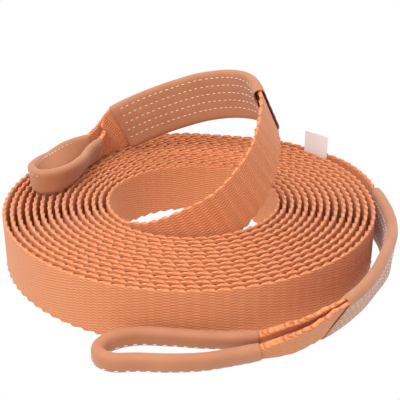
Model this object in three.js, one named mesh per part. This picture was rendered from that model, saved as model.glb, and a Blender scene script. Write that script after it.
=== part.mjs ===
// A tow strap: one length of woven webbing standing on edge in a loose flat
// coil, with a sewn eye and two protective sleeves at each free end.
// Millimetres, +Z up, standing on the floor at z = 0.
import * as THREE from "three";

// Webbing
const WEBBING_WIDTH = 50;
const WEBBING_THICKNESS = 3;
const INNER_GATHERED_WIDTH = 22; // folded lengthwise inside an eye sleeve
const INNER_GATHERED_THICKNESS = 5;
const OUTER_GATHERED_WIDTH = 13.4;
const OUTER_GATHERED_THICKNESS = 7.2;

// Coil
const COIL_RADIUS = 171; // of the outermost turn, at the front
const TURN_PITCH = 6.75;
const COIL_START = -13.87; // turns before the front of the outermost turn
const COIL_END = 0.5; // turns after it, where the outer end leaves the coil
const STEPS_PER_TURN = 48;

// Sleeves
const SLEEVE_WALL = 1;
const CLEARANCE = 0.3; // between the two layers of a splice
const EDGE_ROOM = 0.4; // between a sleeve and the edges of what it holds
const FACE_ROOM = 0.7; // between a sleeve and the faces of what it holds
const SLEEVE_CORNER = 1.2; // cut off its outer corners
const CUT_SHEAR = 0.12; // run of the outer splice sleeve's end cut per unit of width
const SKEWED_RINGS = 8;
const LAP = 3; // rings by which the sewn-back end stops inside its sleeve

// Label
const LABEL_HEIGHT = 33;
const LABEL_THICKNESS = 0.8;
const LABEL_RISE = 27.5; // of its middle over the webbing's middle

const RINGS_PER_SPAN = 8; // rings of a free end from one station to the next
const LABEL_RINGS = [15, 20]; // first and last ring of the outer end that it covers
const UP = new THREE.Vector3(0, 0, 1);

// The two free ends, as the middle of the strap and the degrees by which its
// upper edge leans away from the coil's centre. Each list runs clockwise.
const INNER_SPLICE = [
  { at: [-74, 114, 78], lean: -4 },
  { at: [-48, 114, 90.5], lean: -6 },
  { at: [-18, 111, 103], lean: -8 },
  { at: [14, 103, 115], lean: -9 },
  { at: [44, 87, 123], lean: -13 },
  { at: [63, 64, 126], lean: -19 },
  { at: [71.5, 36, 122], lean: -24 },
];
const INNER_RAMP = [
  { at: [71, 4, 112], lean: -22 },
  { at: [63, -25, 95], lean: -16 },
  { at: [50, -46, 79], lean: -12 },
  { at: [26, -66, 60], lean: -6 },
  { at: [-2, -71, 45], lean: -2 },
  { at: [-33, -66, 31], lean: 0 },
];
const OUTER_LEAD = [
  { at: [93, 152, 25], lean: 0 },
  { at: [128, 128, 25], lean: 0 },
  { at: [160, 92, 25], lean: 0 },
  { at: [175, 48, 26], lean: -1 },
];
const OUTER_SPLICE = [
  { at: [179, 16, 26.6], lean: -2 },
  { at: [181, -12, 26.7], lean: -3 },
  { at: [180.5, -38, 26.8], lean: -1 },
  { at: [173.8, -70, 26.8], lean: 6 },
  { at: [158.7, -104.2, 26.8], lean: 14 },
  { at: [142.2, -135, 26.7], lean: 21 },
  { at: [127.2, -156.2, 26.5], lean: 25.5 },
  { at: [110.3, -175, 26.2], lean: 28.5 },
];

// The eyes, from the limb that the strap runs into first. A positive lean takes
// the upper edge out of the eye.
const INNER_EYE = [
  { at: [-87, 107, 66.5], lean: 3, free: true },
  { at: [-95.5, 91, 63.8], lean: 10 },
  { at: [-104.5, 68, 63.8], lean: 18 },
  { at: [-108.5, 44, 63.8], lean: 22 },
  { at: [-116, 23, 63.8], lean: 16 },
  { at: [-127, 8, 63.7], lean: 6 },
  { at: [-140, 4, 63.6], lean: 2 },
  { at: [-149, 15, 63.7], lean: 8 },
  { at: [-146, 36, 62.9], lean: 38 },
  { at: [-136.5, 60, 61.6], lean: 52 },
  { at: [-124.5, 80.5, 63.1], lean: 35 },
  { at: [-106.5, 99, 63.8], lean: 12 },
  { at: [-91.5, 111.5, 68.5], lean: 2, free: true },
];
const OUTER_EYE = [
  { at: [87.5, -182, 21.5], lean: 29, free: true },
  { at: [70, -182.5, 16], lean: 24, near: true },
  { at: [54, -182, 13.5], lean: 21 },
  { at: [32, -184, 13.1], lean: 17 },
  { at: [10, -183.3, 13.2], lean: 12 },
  { at: [-14, -181.2, 13.9], lean: 9 },
  { at: [-38, -180, 14.2], lean: 6 },
  { at: [-54.5, -182.8, 13.3], lean: 4 },
  { at: [-64.7, -188.5, 11.9], lean: 2 },
  { at: [-68.5, -195.5, 10.5], lean: 0 },
  { at: [-66, -202.1, 9.6], lean: -2 },
  { at: [-57, -206.8, 8.9], lean: -5 },
  { at: [-38, -206.8, 8.8], lean: -10 },
  { at: [-14, -207.8, 8.8], lean: -12 },
  { at: [10, -206.6, 9], lean: -15 },
  { at: [32, -201.8, 9.4], lean: -20 },
  { at: [54, -195, 10], lean: -25 },
  { at: [70, -193.5, 13.5], lean: -27, near: true },
  { at: [87, -189.8, 18], lean: -30, free: true },
];

const FULL = { wide: WEBBING_WIDTH, thick: WEBBING_THICKNESS };
const HALF_GATHERED = { wide: 34, thick: 4 };
const NEARLY_GATHERED = { wide: 24, thick: 5.4 };
const INNER_GATHERED = { wide: INNER_GATHERED_WIDTH, thick: INNER_GATHERED_THICKNESS };
const OUTER_GATHERED = { wide: OUTER_GATHERED_WIDTH, thick: OUTER_GATHERED_THICKNESS };

const rings = (list, size) =>
  list.map(({ at, lean, free, near }) => ({
    at: new THREE.Vector3(...at),
    lean,
    ...((free && HALF_GATHERED) || (near && NEARLY_GATHERED) || size),
  }));

// Rings along a smooth curve through a list of stations.
function smooth(stations) {
  const curve = new THREE.CatmullRomCurve3(
    stations.map(({ at }) => at),
    false,
    "centripetal",
  );
  const spans = stations.length - 1;
  const made = [];
  for (let i = 0; i <= spans * RINGS_PER_SPAN; i += 1) {
    const span = Math.min(Math.floor(i / RINGS_PER_SPAN), spans - 1);
    const share = i / RINGS_PER_SPAN - span;
    const mix = (key) =>
      THREE.MathUtils.lerp(stations[span][key], stations[span + 1][key], share);
    made.push({
      at: curve.getPoint(i / (spans * RINGS_PER_SPAN)),
      lean: mix("lean"),
      wide: mix("wide"),
      thick: mix("thick"),
    });
  }
  return made;
}

// Gives each ring its run, its width direction and the way that its face looks.
function framed(list) {
  return list.map((ring, i) => {
    const run = new THREE.Vector3().subVectors(
      list[Math.min(i + 1, list.length - 1)].at,
      list[Math.max(i - 1, 0)].at,
    );
    run.normalize();
    const up = UP.clone().addScaledVector(run, -run.z).normalize();
    const outward = new THREE.Vector3().crossVectors(up, run);
    const lean = THREE.MathUtils.degToRad(ring.lean);
    const across = up
      .clone()
      .multiplyScalar(Math.cos(lean))
      .addScaledVector(outward, Math.sin(lean));
    const face = new THREE.Vector3().crossVectors(run, across);
    return { ...ring, run, across, face };
  });
}

// The same rings moved towards the coil's centre, each by its own distance.
const moved = (list, distance) =>
  list.map((ring, i) => ({
    ...ring,
    at: ring.at.clone().addScaledVector(ring.face, distance(i)),
  }));

// The same rings run the other way.
const back = (list) =>
  list
    .slice()
    .reverse()
    .map((ring) => ({
      ...ring,
      lean: -ring.lean,
      run: ring.run.clone().negate(),
      face: ring.face.clone().negate(),
    }));

// The same rings with the last ones sheared, so that the end is cut askew.
const skewed = (list) =>
  list.map((ring, i) => {
    const share = (i + 1 - list.length + SKEWED_RINGS) / SKEWED_RINGS;
    const shear = CUT_SHEAR * THREE.MathUtils.smoothstep(share, 0, 1);
    return { ...ring, across: ring.across.clone().addScaledVector(ring.run, shear) };
  });

// A path for ExtrudeGeometry that carries a profile through framed rings.
class StrapPath extends THREE.Curve {
  constructor(list, scaled) {
    super();
    this.list = list;
    this.scaled = scaled;
  }

  getSpacedPoints() {
    return this.list.map(({ at }) => at);
  }

  computeFrenetFrames() {
    const size = (value) => (this.scaled ? value : 1);
    return {
      tangents: this.list.map(({ run }) => run),
      normals: this.list.map(({ across, wide }) =>
        across.clone().multiplyScalar(size(wide)),
      ),
      binormals: this.list.map(({ face, thick }) =>
        face.clone().multiplyScalar(size(thick)),
      ),
    };
  }
}

const sweep = (profile, list, scaled) =>
  new THREE.ExtrudeGeometry(profile, {
    steps: list.length - 1,
    extrudePath: new StrapPath(list, scaled),
    bevelEnabled: false,
  });

function rectangle(wide, thick) {
  return [
    new THREE.Vector2(-wide / 2, -thick / 2),
    new THREE.Vector2(wide / 2, -thick / 2),
    new THREE.Vector2(wide / 2, thick / 2),
    new THREE.Vector2(-wide / 2, thick / 2),
  ];
}

// An eight-sided outline: a rectangle whose corners are cut off.
function blunt(wide, thick, cut) {
  const points = [];
  for (const [x, y] of [
    [1, -1],
    [1, 1],
    [-1, 1],
    [-1, -1],
  ]) {
    const along = new THREE.Vector2(x * (wide / 2 - cut), (y * thick) / 2);
    const over = new THREE.Vector2((x * wide) / 2, y * (thick / 2 - cut));
    points.push(...(x * y < 0 ? [along, over] : [over, along]));
  }
  return points;
}

// A sleeve round a hollow of the given size.
function sleeve(wide, thick, list) {
  const hollowWide = wide + 2 * EDGE_ROOM;
  const hollowThick = thick + 2 * FACE_ROOM;
  const profile = new THREE.Shape(
    blunt(
      hollowWide + 2 * SLEEVE_WALL,
      hollowThick + 2 * SLEEVE_WALL,
      SLEEVE_CORNER,
    ),
  );
  profile.holes.push(new THREE.Path(rectangle(hollowWide, hollowThick)));
  return sweep(profile, list, false);
}

function material(color, roughness) {
  return new THREE.MeshStandardMaterial({ color, roughness, metalness: 0 });
}

// The coil, as a flat spiral.
function spiral(turns) {
  const radius = COIL_RADIUS + TURN_PITCH * turns;
  const angle = 2 * Math.PI * turns;
  return new THREE.Vector3(
    -radius * Math.sin(angle),
    -radius * Math.cos(angle),
    WEBBING_WIDTH / 2,
  );
}
const coil = [];
for (
  let step = Math.ceil(COIL_START * STEPS_PER_TURN);
  step <= COIL_END * STEPS_PER_TURN;
  step += 1
)
  coil.push({ at: spiral(step / STEPS_PER_TURN), lean: 0, ...FULL });

// The middle lines of the free ends.
const innerStations = rings([...INNER_SPLICE, ...INNER_RAMP], FULL);
const innerMiddle = framed(smooth([...innerStations, coil[0]]));
const outerStations = rings([...OUTER_LEAD, ...OUTER_SPLICE], FULL);
const outerMiddle = framed(smooth([coil[coil.length - 1], ...outerStations]));
const innerRings = (INNER_SPLICE.length - 1) * RINGS_PER_SPAN;
const outerRings = (OUTER_SPLICE.length - 1) * RINGS_PER_SPAN;
const innerSplice = innerMiddle.slice(0, innerRings + 1);
const outerSplice = outerMiddle.slice(-outerRings - 1);

// The two layers of a splice lie either side of its middle line.
const APART = (WEBBING_THICKNESS + CLEARANCE) / 2;
const ease = (share) => THREE.MathUtils.smoothstep(share, 0, 1);
const innerLayer = moved(
  innerMiddle,
  (i) => -APART * ease((innerMiddle.length - 1 - i) / (2 * RINGS_PER_SPAN)),
);
const outerLayer = moved(
  outerMiddle,
  (i) => APART * ease(i / (2 * RINGS_PER_SPAN)),
);
const innerReturn = back(moved(innerSplice, () => APART)).slice(LAP);
const outerReturn = back(moved(outerSplice, () => -APART)).slice(0, -LAP);

// An eye joins the end of one layer to the start of the other.
function eye(from, stations, to) {
  const lead = from.slice(-2);
  const tail = to.slice(0, 2);
  const all = framed(smooth([...lead, ...stations, ...tail]));
  return all.slice(RINGS_PER_SPAN + 1, -RINGS_PER_SPAN - 1);
}
const innerEye = eye(innerReturn, rings(INNER_EYE, INNER_GATHERED), innerLayer);
const outerEye = eye(outerLayer, rings(OUTER_EYE, OUTER_GATHERED), outerReturn);

// The rings where the webbing is fully gathered.
const covered = (all, size) => all.filter(({ wide }) => wide < size.wide + 0.01);

const strap = new THREE.Group();
function add(name, geometry, look) {
  const mesh = new THREE.Mesh(geometry, look);
  mesh.name = name;
  strap.add(mesh);
}

const webbingLook = material(0xd9824a, 0.85);
const sleeveLook = material(0xb9724f, 0.7);

add(
  "webbing",
  sweep(
    new THREE.Shape(rectangle(1, 1)),
    [
      ...innerReturn,
      ...innerEye,
      ...innerLayer,
      ...framed(coil).slice(1),
      ...outerLayer.slice(1),
      ...outerEye,
      ...outerReturn,
    ],
    true,
  ),
  webbingLook,
);
const DOUBLE = 2 * WEBBING_THICKNESS + CLEARANCE;
add(
  "inner_splice_sleeve",
  sleeve(WEBBING_WIDTH, DOUBLE, innerSplice),
  sleeveLook,
);
add(
  "outer_splice_sleeve",
  sleeve(WEBBING_WIDTH, DOUBLE, skewed(outerSplice)),
  sleeveLook,
);
add(
  "inner_eye_sleeve",
  sleeve(
    INNER_GATHERED_WIDTH,
    INNER_GATHERED_THICKNESS,
    covered(innerEye, INNER_GATHERED),
  ),
  sleeveLook,
);
add(
  "outer_eye_sleeve",
  sleeve(
    OUTER_GATHERED_WIDTH,
    OUTER_GATHERED_THICKNESS,
    covered(outerEye, OUTER_GATHERED),
  ),
  sleeveLook,
);

// The label stands against the inner face of the outermost turn.
const [labelStart, labelEnd] = LABEL_RINGS;
const behind = (WEBBING_THICKNESS + LABEL_THICKNESS) / 2 + CLEARANCE;
const labelRings = moved(outerLayer, () => behind)
  .slice(labelStart, labelEnd + 1)
  .map((ring) => ({
    ...ring,
    at: ring.at.clone().addScaledVector(ring.across, LABEL_RISE),
  }));
add(
  "label",
  sweep(
    new THREE.Shape(rectangle(LABEL_HEIGHT, LABEL_THICKNESS)),
    labelRings,
    false,
  ),
  material(0xf0f0f0, 0.6),
);

// The origin is the middle of the bounding box, on the floor.
const box = new THREE.Box3().setFromObject(strap);
const middle = box.getCenter(new THREE.Vector3());
const part = new THREE.Group();
strap.position.set(-middle.x, -middle.y, -box.min.z);
part.add(strap);

export default part;
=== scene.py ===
"""Looks of a coiled tow strap: woven webbing, stitched sleeves and a blank label.

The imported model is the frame. Lengths are metres unless a name says mm.
"""

import math

import bmesh
import bpy
import numpy as np
from mathutils import Matrix, Vector, noise


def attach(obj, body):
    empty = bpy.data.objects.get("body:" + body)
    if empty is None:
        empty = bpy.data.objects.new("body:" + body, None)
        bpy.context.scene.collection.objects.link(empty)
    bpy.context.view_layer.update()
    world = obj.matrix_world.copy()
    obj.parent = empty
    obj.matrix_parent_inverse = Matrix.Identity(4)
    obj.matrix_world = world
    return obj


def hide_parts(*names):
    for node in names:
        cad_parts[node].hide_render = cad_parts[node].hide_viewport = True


MM = 0.001

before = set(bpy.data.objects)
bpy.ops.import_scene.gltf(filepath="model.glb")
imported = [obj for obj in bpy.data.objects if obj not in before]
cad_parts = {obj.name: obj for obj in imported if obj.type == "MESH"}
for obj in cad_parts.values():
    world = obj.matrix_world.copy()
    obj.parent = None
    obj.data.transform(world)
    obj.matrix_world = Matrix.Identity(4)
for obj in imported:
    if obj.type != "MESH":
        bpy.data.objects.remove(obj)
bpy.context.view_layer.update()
scene = bpy.context.scene

# Camera
# It stands where the photograph was taken from: a little over the coil's front.
CAMERA_AT = (0.0022, -0.7211, 0.3873)
CAMERA_AIM = (0.0022, 0.0193, 0.0466)
CAMERA_LENS = 77.7
SENSOR_WIDTH = 36.0

camera = bpy.data.objects.new("camera", bpy.data.cameras.new("camera"))
camera.data.lens = CAMERA_LENS
camera.data.sensor_width = SENSOR_WIDTH
camera.data.clip_start = 0.01
camera.location = CAMERA_AT
aim = Vector(CAMERA_AIM) - Vector(CAMERA_AT)
camera.rotation_euler = aim.to_track_quat("-Z", "Y").to_euler()
scene.collection.objects.link(camera)
scene.camera = camera

# Route of the strap
# One webbing runs from the folded inner end through the inner eye, the arch, the coil,
# the outer splice and the outer eye. Its stations are in mm about the coil's centre.
CENTRE = np.array([-6.475, 19.254, 0.0])  # from the coil's centre to the frame's origin
WIDE = 50.0
THICK = 3.0
INNER_GATHERED = (22.0, 5.0)
OUTER_GATHERED = (13.4, 7.2)
NEAR = (24.0, 5.4)
FREE = (34.0, 4.0)
FULL = (WIDE, THICK)
COIL_RADIUS = 171.0
TURN_PITCH = 6.75
COIL_START = -13.87
COIL_END = 0.5
STEPS_PER_TURN = 192
PER_SPAN = 16  # rings from one station to the next
LAP = 6  # rings by which the sewn-back end stops inside its sleeve
LAYER_GAP = 0.3
APART = (THICK + LAYER_GAP) / 2  # of each layer of a splice from the middle

# Each station is x, y, z and the degrees by which the upper edge leans to the left of the
# run. A station of an eye also has its width and thickness. All lists run clockwise.
INNER_SPLICE = [
    (-74, 114, 78, -4),
    (-48, 114, 90.5, -6),
    (-18, 111, 103, -8),
    (14, 103, 115, -9),
    (44, 87, 123, -13),
    (63, 64, 126, -19),
    (71.5, 36, 122, -24),
]
INNER_RAMP = [
    (71, 4, 112, -22),
    (63, -25, 95, -16),
    (50, -46, 79, -12),
    (26, -66, 60, -6),
    (-2, -71, 45, -2),
    (-33, -66, 31, 0),
]
OUTER_LEAD = [
    (93, 152, 25, 0),
    (128, 128, 25, 0),
    (160, 92, 25, 0),
    (175, 48, 26, -1),
]
OUTER_SPLICE = [
    (179, 16, 26.6, -2),
    (181, -12, 26.7, -3),
    (180.5, -38, 26.8, -1),
    (173.8, -70, 26.8, 6),
    (158.7, -104.2, 26.8, 14),
    (142.2, -135, 26.7, 21),
    (127.2, -156.2, 26.5, 25.5),
    (110.3, -175, 26.2, 28.5),
]
INNER_EYE = [
    (-87, 107, 66.5, 3, FREE),
    (-95.5, 91, 63.8, 10, INNER_GATHERED),
    (-104.5, 68, 63.8, 18, INNER_GATHERED),
    (-108.5, 44, 63.8, 22, INNER_GATHERED),
    (-116, 23, 63.8, 16, INNER_GATHERED),
    (-127, 8, 63.7, 6, INNER_GATHERED),
    (-140, 4, 63.6, 2, INNER_GATHERED),
    (-149, 15, 63.7, 8, INNER_GATHERED),
    (-146, 36, 62.9, 38, INNER_GATHERED),
    (-136.5, 60, 61.6, 52, INNER_GATHERED),
    (-124.5, 80.5, 63.1, 35, INNER_GATHERED),
    (-106.5, 99, 63.8, 12, INNER_GATHERED),
    (-91.5, 111.5, 68.5, 2, FREE),
]
OUTER_EYE = [
    (87.5, -182, 21.5, 29, FREE),
    (70, -182.5, 16, 24, NEAR),
    (54, -182, 13.5, 21, OUTER_GATHERED),
    (32, -184, 13.1, 17, OUTER_GATHERED),
    (10, -183.3, 13.2, 12, OUTER_GATHERED),
    (-14, -181.2, 13.9, 9, OUTER_GATHERED),
    (-38, -180, 14.2, 6, OUTER_GATHERED),
    (-54.5, -182.8, 13.3, 4, OUTER_GATHERED),
    (-64.7, -188.5, 11.9, 2, OUTER_GATHERED),
    (-68.5, -195.5, 10.5, 0, OUTER_GATHERED),
    (-66, -202.1, 9.6, -2, OUTER_GATHERED),
    (-57, -206.8, 8.9, -5, OUTER_GATHERED),
    (-38, -206.8, 8.8, -10, OUTER_GATHERED),
    (-14, -207.8, 8.8, -12, OUTER_GATHERED),
    (10, -206.6, 9, -15, OUTER_GATHERED),
    (32, -201.8, 9.4, -20, OUTER_GATHERED),
    (54, -195, 10, -25, OUTER_GATHERED),
    (70, -193.5, 13.5, -27, NEAR),
    (87, -189.8, 18, -30, FREE),
]

# A ring is one row: place, lean, width, thickness, then width and face directions.
AT, LEAN, SIZE = slice(0, 3), 3, slice(4, 6)
ACROSS, FACE = slice(6, 9), slice(9, 12)


def stations(rows, size=FULL):
    return [list(row[:4]) + list(row[4] if len(row) > 4 else size) for row in rows]


def knots(a, b, c, d):
    """The two end tangents of a centripetal curve's span from b to c."""
    gap = [max(float(np.linalg.norm(q - p)), 1e-4) ** 0.5 for p, q in ((a, b), (b, c), (c, d))]
    start = (b - a) / gap[0] - (c - a) / (gap[0] + gap[1]) + (c - b) / gap[1]
    end = (c - b) / gap[1] - (d - b) / (gap[1] + gap[2]) + (d - c) / gap[2]
    return start * gap[1], end * gap[1]


def smooth(rows):
    """Rings along a centripetal curve through the stations."""
    points = np.array(rows, dtype=float)
    at = points[:, AT]
    at = np.vstack([2 * at[0] - at[1], at, 2 * at[-1] - at[-2]])
    made = []
    for span in range(len(points) - 1):
        a, b, c, d = at[span : span + 4]
        start, end = knots(a, b, c, d)
        last = span == len(points) - 2
        for i in range(PER_SPAN + last):
            t = i / PER_SPAN
            bend = (2 * b - 2 * c + start + end) * t**3
            bend += (3 * c - 3 * b - 2 * start - end) * t**2
            mixed = points[span, 3:] * (1 - t) + points[span + 1, 3:] * t
            made.append(np.concatenate([bend + start * t + b, mixed]))
    return framed(np.array(made))


def framed(rows):
    """Adds each ring's width direction and the way that its face looks."""
    at = rows[:, AT]
    run = np.vstack([at[1:], at[-1:]]) - np.vstack([at[:1], at[:-1]])
    run /= np.linalg.norm(run, axis=1)[:, None]
    up = np.array([0, 0, 1.0]) - run * run[:, 2:3]
    up /= np.linalg.norm(up, axis=1)[:, None]
    lean = np.radians(rows[:, LEAN])[:, None]
    across = up * np.cos(lean) + np.cross(up, run) * np.sin(lean)
    return np.hstack([rows[:, :6], across, np.cross(run, across)])


def moved(rows, distance):
    """The same rings moved towards the coil's centre."""
    shifted = rows.copy()
    shifted[:, AT] += rows[:, FACE] * np.broadcast_to(distance, len(rows))[:, None]
    return shifted


def back(rows):
    """The same rings run the other way."""
    turned = rows[::-1].copy()
    turned[:, LEAN] *= -1
    turned[:, FACE] *= -1
    return turned


def eased(count, spans=2):
    share = np.clip(np.arange(count) / (spans * PER_SPAN), 0, 1)
    return share**2 * (3 - 2 * share)


def eye_rings(lead, rows, tail):
    ends = [list(ring[:6]) for ring in lead[-2:]], [list(ring[:6]) for ring in tail[:2]]
    return smooth(ends[0] + stations(rows) + ends[1])[PER_SPAN + 1 : -PER_SPAN - 1]


turns = np.arange(COIL_START, COIL_END, 1 / STEPS_PER_TURN)
radius = COIL_RADIUS + TURN_PITCH * turns
coil = np.zeros((len(turns), 6))
coil[:, 0] = -radius * np.sin(2 * np.pi * turns)
coil[:, 1] = -radius * np.cos(2 * np.pi * turns)
coil[:, 2] = WIDE / 2
coil[:, SIZE] = FULL

inner_middle = smooth(stations(INNER_SPLICE + INNER_RAMP) + [list(coil[0])])
outer_middle = smooth([list(coil[-1])] + stations(OUTER_LEAD + OUTER_SPLICE))
inner_splice = inner_middle[: (len(INNER_SPLICE) - 1) * PER_SPAN + 1]
outer_splice = outer_middle[-(len(OUTER_SPLICE) - 1) * PER_SPAN - 1 :]
inner_layer = moved(inner_middle, -APART * eased(len(inner_middle))[::-1])
outer_layer = moved(outer_middle, APART * eased(len(outer_middle)))
inner_return = back(moved(inner_splice, APART))[LAP:]
outer_return = back(moved(outer_splice, -APART))[:-LAP]
inner_eye = eye_rings(inner_return, INNER_EYE, inner_layer)
outer_eye = eye_rings(outer_layer, OUTER_EYE, outer_return)
whole = np.vstack(
    [
        inner_return,
        inner_eye,
        inner_layer,
        framed(coil)[1:-1],
        outer_layer[1:],
        outer_eye,
        outer_return,
    ]
)


def lengths(rows):
    """Distance of each ring from the first one, in mm."""
    steps = np.linalg.norm(np.diff(rows[:, AT], axis=0), axis=1)
    return np.concatenate([[0], np.cumsum(steps)])


def resampled(rows, step):
    """Rings at even distances along the same route."""
    run = lengths(rows)
    marks = np.linspace(0, run[-1], max(2, round(run[-1] / step)) + 1)
    return np.stack([np.interp(marks, run, rows[:, i]) for i in range(rows.shape[1])], 1), marks


def placed(rows, i, across, out):
    """The point of ring i that lies across and out of its middle, in metres."""
    ring = rows[i]
    at = ring[AT] + ring[ACROSS] * across + ring[FACE] * out + CENTRE
    return Vector(at * MM)


# Materials
# The webbing is coarse plain-woven polyester, the sleeves a close woven fabric that looks
# smooth, the thread and the label white polyester.


def colour(text):
    """A colour written as sRGB hex, turned linear."""
    parts = [int(text[i : i + 2], 16) / 255 for i in (1, 3, 5)]
    return tuple(p / 12.92 if p <= 0.04045 else ((p + 0.055) / 1.055) ** 2.4 for p in parts) + (1.0,)


def add_node(tree, kind, inputs=(), **settings):
    """A node with its settings, and its inputs as values or as another node's output."""
    made = tree.nodes.new(kind)
    for key, value in settings.items():
        setattr(made, key, value)
    for place, value in dict(inputs).items():
        if isinstance(value, bpy.types.NodeSocket):
            tree.links.new(value, made.inputs[place])
        else:
            made.inputs[place].default_value = value
    return made


def fabric(name, roughness, sheen):
    """A new material with its tree and its shader."""
    made = bpy.data.materials.new(name)
    made.use_nodes = True
    shader = made.node_tree.nodes["Principled BSDF"]
    shader.inputs["Roughness"].default_value = roughness
    shader.inputs["Sheen Weight"].default_value = sheen
    shader.inputs["Specular IOR Level"].default_value = 0.25
    return made, made.node_tree, shader


def calc(tree, operation, a, b=0.0, c=0.0):
    return add_node(tree, "ShaderNodeMath", {0: a, 1: b, 2: c}, operation=operation).outputs[0]


WEAVE_COLUMN = 5.85 * MM  # along the webbing, one float of a yarn
WEAVE_ROW = 2.5 * MM  # across the webbing, one yarn
WEAVE_RELIEF = 0.6 * MM
COLUMN_DEPTH = 0.22  # of the dip between columns, against that between rows
LIGHT_DEPTH = (4.0 * MM, 1.2 * MM, 0.4 * MM)  # how far red, green and blue soak in

# The hollow colour is painted shade: the dips between the yarns are coloured darker, on top of the
# bump, where shade would fall.
WEAVE_PAINTED_HOLLOW_SHADE = "#b2562b"
WEAVE_CROWN = "#dc8f60"
WEAVE_PAINTED_SHADE_HEIGHTS = (0.25, 1.1)  # heights in the weave that have these two colours: painted shade in the hollows, the yarn's own colour on the crowns
FIBRE_SCALE = 900.0
FIBRE_TINT = 0.25
FIBRE_RELIEF = 0.15
SOAK = 0.35  # share of the light that goes into the yarn before it comes back

polyester, tree, shader = fabric("woven_orange_polyester", 0.8, 0.15)
place = add_node(tree, "ShaderNodeUVMap", uv_map="route")
split = add_node(tree, "ShaderNodeSeparateXYZ", {0: place.outputs[0]})
column = calc(tree, "DIVIDE", split.outputs[0], WEAVE_COLUMN)
odd = calc(tree, "MODULO", calc(tree, "FLOOR", column), 2.0)
row = calc(tree, "MULTIPLY_ADD", odd, 0.5, calc(tree, "DIVIDE", split.outputs[1], WEAVE_ROW))
side = calc(tree, "ABSOLUTE", calc(tree, "SUBTRACT", calc(tree, "FRACT", column), 0.5))
rise = calc(tree, "ABSOLUTE", calc(tree, "SUBTRACT", calc(tree, "FRACT", row), 0.5))
deep = calc(tree, "POWER", calc(tree, "MULTIPLY", side, 2.0), 6.0)
flat = calc(tree, "SUBTRACT", 1.0, calc(tree, "MULTIPLY", deep, COLUMN_DEPTH))
tall = calc(tree, "SUBTRACT", 1.0, calc(tree, "POWER", calc(tree, "MULTIPLY", rise, 2.0), 2.0))
yarn = calc(tree, "SQRT", calc(tree, "MAXIMUM", calc(tree, "MULTIPLY", flat, tall), 0.0))
fibre = add_node(
    tree,
    "ShaderNodeTexNoise",
    {"Vector": place.outputs[0], "Scale": FIBRE_SCALE, "Detail": 2.0},
).outputs[0]
# Painted shade: the lower the weave lies, the more of the dark hollow colour it gets; the fibre noise
# adds a random tone.
painted_shade_mix = add_node(
    tree,
    "ShaderNodeMapRange",
    {0: calc(tree, "MULTIPLY_ADD", fibre, FIBRE_TINT, yarn), 1: WEAVE_PAINTED_SHADE_HEIGHTS[0], 2: WEAVE_PAINTED_SHADE_HEIGHTS[1]},
)
mixed = add_node(
    tree,
    "ShaderNodeMix",
    {0: painted_shade_mix.outputs[0], 6: colour(WEAVE_PAINTED_HOLLOW_SHADE), 7: colour(WEAVE_CROWN)},
    data_type="RGBA",
)
tree.links.new(mixed.outputs[2], shader.inputs["Base Color"])
shader.inputs["Subsurface Weight"].default_value = SOAK
shader.inputs["Subsurface Radius"].default_value = LIGHT_DEPTH
shader.inputs["Subsurface Scale"].default_value = 1.0
height = calc(tree, "MULTIPLY_ADD", fibre, FIBRE_RELIEF, yarn)
bump = add_node(
    tree,
    "ShaderNodeBump",
    {"Strength": 0.8, "Distance": WEAVE_RELIEF, "Height": height},
)
tree.links.new(bump.outputs[0], shader.inputs["Normal"])

BLOTCH_SCALE = 45.0
SLEEVE_GRAIN_SCALE = 1400.0
SLEEVE_RELIEF = 0.2 * MM

sleeve_cloth, tree, shader = fabric("close_woven_tan_sleeve", 0.6, 0.25)
where = add_node(tree, "ShaderNodeTexCoord").outputs["Object"]
blotch = add_node(tree, "ShaderNodeTexNoise", {"Vector": where, "Scale": BLOTCH_SCALE, "Detail": 4.0})
mixed = add_node(
    tree,
    "ShaderNodeMix",
    {0: blotch.outputs[0], 6: colour("#ab6a48"), 7: colour("#c08460")},
    data_type="RGBA",
)
tree.links.new(mixed.outputs[2], shader.inputs["Base Color"])
grain = add_node(
    tree,
    "ShaderNodeTexNoise",
    {"Vector": where, "Scale": SLEEVE_GRAIN_SCALE, "Detail": 2.0},
)
bump = add_node(
    tree,
    "ShaderNodeBump",
    {"Strength": 0.25, "Distance": SLEEVE_RELIEF, "Height": grain.outputs[0]},
)
tree.links.new(bump.outputs[0], shader.inputs["Normal"])

thread_white, tree, shader = fabric("white_polyester_thread", 0.6, 0.1)
shader.inputs["Base Color"].default_value = colour("#f4e6da")

SATIN_SCALE = 700.0
SATIN_RELIEF = 0.15 * MM

satin, tree, shader = fabric("white_satin_label", 0.45, 0.2)
where = add_node(tree, "ShaderNodeTexCoord").outputs["Object"]
threads = add_node(
    tree,
    "ShaderNodeTexNoise",
    {"Vector": where, "Scale": SATIN_SCALE, "Detail": 1.0},
)
bump = add_node(
    tree,
    "ShaderNodeBump",
    {"Strength": 0.3, "Distance": SATIN_RELIEF, "Height": threads.outputs[0]},
)
tree.links.new(bump.outputs[0], shader.inputs["Normal"])
shader.inputs["Base Color"].default_value = colour("#f3f1ef")

# Webbing
# One heavy plain-woven polyester strap, 50 by 3 mm and some 13 m long. Where the outer
# yarn turns back at each edge, the edge is scalloped and sways from face to face.
EDGE_PERIOD = 2 * WEAVE_COLUMN / MM
EDGE_STEPS = 8  # rings to one scallop
EDGE_DIP = 1.5
EDGE_SWAY = 0.95
EDGE_SWELL = 0.35
WANDER = 0.55  # slow unevenness of the turns
WANDER_LENGTH = 70.0
WANDER_SEED = 3.7

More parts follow.
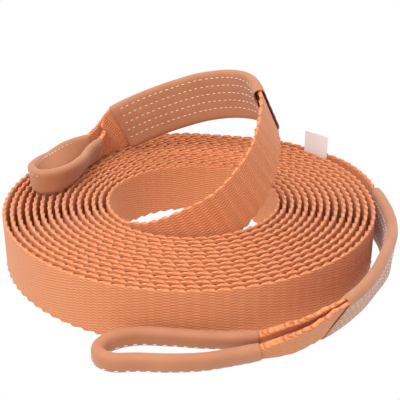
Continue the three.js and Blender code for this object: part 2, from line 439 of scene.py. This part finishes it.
# Each point of the section has the sign of its edge, its distance in from that edge, its
# share of the thickness and its part in the scallops.
SHOULDER = 1.6
CROWN = 0.5
PLAIN = 3.2  # from here inwards the faces are flat
SECTION = [
    (1, -PLAIN, -0.5, 0),
    (1, -SHOULDER, -0.5, 0.3),
    (1, -CROWN, -0.38, 0.8),
    (1, 0, 0, 1),
    (1, -CROWN, 0.38, 0.8),
    (1, -SHOULDER, 0.5, 0.3),
    (1, -PLAIN, 0.5, 0),
    (-1, PLAIN, 0.5, 0),
    (-1, SHOULDER, 0.5, 0.3),
    (-1, CROWN, 0.38, 0.8),
    (-1, 0, 0, 1),
    (-1, CROWN, -0.38, 0.8),
    (-1, SHOULDER, -0.5, 0.3),
    (-1, PLAIN, -0.5, 0),
]


def finished(name, bm, material):
    """A smooth object at the origin that rides on the part."""
    mesh = bpy.data.meshes.new(name)
    bm.to_mesh(mesh)
    bm.free()
    mesh.materials.append(material)
    for face in mesh.polygons:
        face.use_smooth = True
    made = bpy.data.objects.new(name, mesh)
    scene.collection.objects.link(made)
    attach(made, "root")
    return made


strip, marks = resampled(whole, EDGE_PERIOD / EDGE_STEPS)
bm = bmesh.new()
route = bm.loops.layers.uv.new("route")
rows, columns = len(strip), len(SECTION)
bmesh.ops.create_grid(bm, x_segments=columns, y_segments=rows - 1, size=1)
bm.verts.ensure_lookup_table()
weave_at = {}
for n, vert in enumerate(bm.verts):
    i, k = divmod(n, columns + 1)
    edge, inset, depth, part = SECTION[k % columns]
    wide, thick = strip[i, SIZE]
    share = (wide / WIDE) ** 2
    turn = 2 * math.pi * marks[i] / EDGE_PERIOD + (math.pi if edge < 0 else 0)
    dip = share * max(0.0, math.cos(turn)) ** 2
    across = edge * wide / 2 + inset - edge * EDGE_DIP * dip * part
    out = depth * (thick + EDGE_SWELL * part * (1 - 2 * dip))
    out += EDGE_SWAY * part * share * math.sin(turn)
    slow = noise.noise(Vector((marks[i] / WANDER_LENGTH, WANDER_SEED, 0.0)))
    vert.co = placed(strip, i, across, out + WANDER * slow * share)
    # Both faces have the same weave coordinates: along the strap, and across it.
    weave_at[vert.index] = (marks[i] * MM, across * MM)
for face in bm.faces:
    for loop in face.loops:
        loop[route].uv = weave_at[loop.vert.index]
bmesh.ops.remove_doubles(bm, verts=bm.verts, dist=0.001 * MM)
bmesh.ops.holes_fill(bm, edges=[e for e in bm.edges if e.is_boundary], sides=columns)
bmesh.ops.recalc_face_normals(bm, faces=bm.faces)
webbing = finished("webbing_strap", bm, polyester)
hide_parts("webbing")

# Sleeves
# Tubes of close woven fabric drawn over the webbing: a flat one sewn round the two
# layers of each splice, and a narrow one that guards each folded eye.
WALL = 1.0
SPLICE_OUTLINE = (52.8, 9.7)
INNER_EYE_OUTLINE = (24.8, 8.4)
OUTER_EYE_OUTLINE = (16.2, 10.6)
SLEEVE_STEP = 2.0
ARC_POINTS = 7
SPLICE_FLATS = 18
EYE_FLATS = 6
ROW_PITCH = 8.3
ROWS = (-2, -1, 0, 1, 2)
INNER_ROWS_RISE = 4.0
QUILT = 0.35  # depth that a row of stitches pulls in
QUILT_WIDTH = 2.2
WRINKLE = 0.35
WRINKLE_LENGTH = 24.0
END_ROUND = 4  # rings over which an end tucks in
LIP = 0.5
FLARE_LENGTH = 26.0  # from the last ring back, over which an end opens


def stadium(wide, thick, flats):
    """A flat tube's outline with round edges, as width and thickness pairs."""
    radius = thick / 2
    half = wide / 2 - radius
    outline = []
    for way in (1, -1):
        for i in range(ARC_POINTS):
            a = math.pi * (i / (ARC_POINTS - 1) - 0.5)
            outline.append((way * (half + radius * math.cos(a)), way * radius * math.sin(a)))
        for i in range(1, flats):
            outline.append((way * (half - 2 * half * i / flats), way * radius))
    return outline


def sleeve(name, node, path, outline, flats, stitch_rows=(), flare=0.0, seed=0.0):
    """A tube with a wall: its outside along the rings and its inside back again."""
    rings, along = resampled(path, SLEEVE_STEP)
    count = len(rings)
    points = stadium(*outline, flats)
    half_wide, half_thick = outline[0] / 2, outline[1] / 2
    around = len(points)
    bm = bmesh.new()
    bmesh.ops.create_grid(bm, x_segments=around, y_segments=2 * count, size=1)
    bm.verts.ensure_lookup_table()
    for n, vert in enumerate(bm.verts):
        i, k = divmod(n, around + 1)
        inside = count <= i < 2 * count
        i = 2 * count - 1 - i if inside else i % (2 * count)
        across, out = points[k % around]
        pull = sum(math.exp(-(((across - v) / QUILT_WIDTH) ** 2)) for v in stitch_rows)
        crease = Vector((along[i], across * 1.5, out * 2)) / WRINKLE_LENGTH
        fold = noise.noise(crease + Vector((seed, 0, 0)))
        swell = 1 + flare * max(0.0, 1 - (along[-1] - along[i]) / FLARE_LENGTH) ** 2
        tuck = min(i, count - 1 - i, END_ROUND) / END_ROUND
        shrink = WALL if inside else LIP * (1 - tuck)
        depth = (half_thick - shrink - (0 if inside else QUILT * pull)) / half_thick
        span = (half_wide - shrink) / half_wide
        out = out * depth * swell + (0 if inside else WRINKLE * fold * (1 if out > 0 else -1))
        vert.co = placed(rings, i, across * span, out)
    bmesh.ops.remove_doubles(bm, verts=bm.verts, dist=0.01 * MM)
    bmesh.ops.recalc_face_normals(bm, faces=bm.faces)
    made = finished(name, bm, sleeve_cloth)
    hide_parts(node)
    return made


def covered(rows, size):
    return rows[rows[:, 4] < size[0] + 0.01]


INNER_ROWS = [INNER_ROWS_RISE + ROW_PITCH * k for k in ROWS]
OUTER_ROWS = [ROW_PITCH * k for k in ROWS]
inner_tube = covered(inner_eye, INNER_GATHERED)
outer_tube = covered(outer_eye, OUTER_GATHERED)
sleeve(
    "inner_splice_cover",
    "inner_splice_sleeve",
    inner_splice,
    SPLICE_OUTLINE,
    SPLICE_FLATS,
    stitch_rows=INNER_ROWS,
    flare=0.35,
    seed=1.0,
)
sleeve(
    "outer_splice_cover",
    "outer_splice_sleeve",
    outer_splice,
    SPLICE_OUTLINE,
    SPLICE_FLATS,
    stitch_rows=OUTER_ROWS,
    flare=0.0,
    seed=2.0,
)
sleeve(
    "inner_eye_cover",
    "inner_eye_sleeve",
    inner_tube,
    INNER_EYE_OUTLINE,
    EYE_FLATS,
    flare=0.15,
    seed=3.0,
)
sleeve(
    "outer_eye_cover",
    "outer_eye_sleeve",
    outer_tube,
    OUTER_EYE_OUTLINE,
    EYE_FLATS,
    flare=0.1,
    seed=4.0,
)


# Stitches
# White thread sewn through sleeve and webbing, in rows of dashes that show on both faces.
STITCH_PITCH = 6.3
STITCH_HALF = (2.1, 0.45, 0.4)  # along, across, out
STITCH_MARGIN = 5.0
STITCH_PROUD = 0.2  # of the quilted valley that it lies in
STITCH_STAGGER = 0.13  # of a pitch, from one row to the next
STITCH_SUNK = 0.2  # into an eye's sleeve
EYE_PITCH = 8.0
SEAM_PITCH = 5.2
EYE_MARGIN = 6.0
OUTER_SEAM_ACROSS = -4.2
INNER_SEAM_ACROSS = 7.5


def stitches(name, path, lines, pitch, margin):
    """Dashes at the given places across the strap and out of its middle."""
    rings, along = resampled(path, 1.0)
    bm = bmesh.new()
    for line, (across, out) in enumerate(lines):
        count = int((along[-1] - 2 * margin) / pitch)
        for k in range(count + 1):
            mark = margin + (k + STITCH_STAGGER * line) * pitch
            i = int(np.searchsorted(along, mark))
            if i > len(rings) - 2:
                continue
            run = placed(rings, i + 1, 0, 0) - placed(rings, i - 1, 0, 0)
            run.normalize()
            wide = Vector(rings[i, ACROSS])
            turn = Matrix((run, wide, run.cross(wide))).transposed().to_4x4()
            size = Matrix.Diagonal([h * MM for h in STITCH_HALF] + [1])
            at = Matrix.Translation(placed(rings, i, across, out))
            bmesh.ops.create_icosphere(bm, subdivisions=1, radius=1, matrix=at @ turn @ size)
    return finished(name, bm, thread_white)


def both_faces(places, out):
    """The same places on the front and the back of a sleeve."""
    return [(across, way * out) for across in places for way in (1, -1)]


SKIN = SPLICE_OUTLINE[1] / 2 - QUILT + STITCH_PROUD
OUTER_SKIN = OUTER_EYE_OUTLINE[1] / 2 - STITCH_SUNK
INNER_SKIN = INNER_EYE_OUTLINE[1] / 2 - STITCH_SUNK
inner_lines = both_faces(INNER_ROWS, SKIN)
outer_lines = both_faces(OUTER_ROWS, SKIN)
outer_seam = both_faces([OUTER_SEAM_ACROSS], OUTER_SKIN)
inner_seam = both_faces([INNER_SEAM_ACROSS], INNER_SKIN)
stitches("inner_splice_thread", inner_splice, inner_lines, STITCH_PITCH, STITCH_MARGIN)
stitches("outer_splice_thread", outer_splice, outer_lines, STITCH_PITCH, STITCH_MARGIN)
stitches("outer_eye_thread", outer_tube, outer_seam, EYE_PITCH, EYE_MARGIN)
stitches("inner_eye_thread", inner_tube, inner_seam, SEAM_PITCH, EYE_MARGIN)


# Label
# A small white satin tag sewn to the inner face of the outermost turn, with nothing on it.
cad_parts["label"].data.materials.clear()
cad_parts["label"].data.materials.append(satin)

# Floor and light
# A plain white studio sweep and large soft lamps.
FLOOR_SIZE = 8.0
bm = bmesh.new()
bmesh.ops.create_grid(bm, x_segments=1, y_segments=1, size=FLOOR_SIZE / 2)
mesh = bpy.data.meshes.new("floor")
bm.to_mesh(mesh)
bm.free()
floor = bpy.data.objects.new("floor", mesh)
floor.location.z = -0.0005
white = bpy.data.materials.new("lit_white_sweep")
white.use_nodes = True
tree = white.node_tree
glow = add_node(tree, "ShaderNodeEmission", {"Color": colour("#ffffff"), "Strength": 1.0})
tree.links.new(glow.outputs[0], tree.nodes["Material Output"].inputs["Surface"])
mesh.materials.append(white)
scene.collection.objects.link(floor)

LAMPS = [
    ("key_lamp", (-0.7, -1.1, 1.5), 1.2, 26.0),
    ("top_lamp", (0.3, 0.5, 1.9), 1.6, 16.0),
]
for name, at, size, power in LAMPS:
    lamp = bpy.data.lights.new(name, "AREA")
    lamp.size = size
    lamp.energy = power
    made = bpy.data.objects.new(name, lamp)
    made.location = at
    made.rotation_euler = (Vector((0, 0, 0.03)) - Vector(at)).to_track_quat("-Z", "Y").to_euler()
    scene.collection.objects.link(made)

BOUNCES = 12  # light has to find its way down between the turns
scene.cycles.diffuse_bounces = BOUNCES
scene.world = bpy.data.worlds.new("studio")
scene.world.use_nodes = True
sky = scene.world.node_tree.nodes["Background"]
sky.inputs["Color"].default_value = colour("#ffffff")
sky.inputs["Strength"].default_value = 0.75
scene.view_settings.view_transform = "Standard"
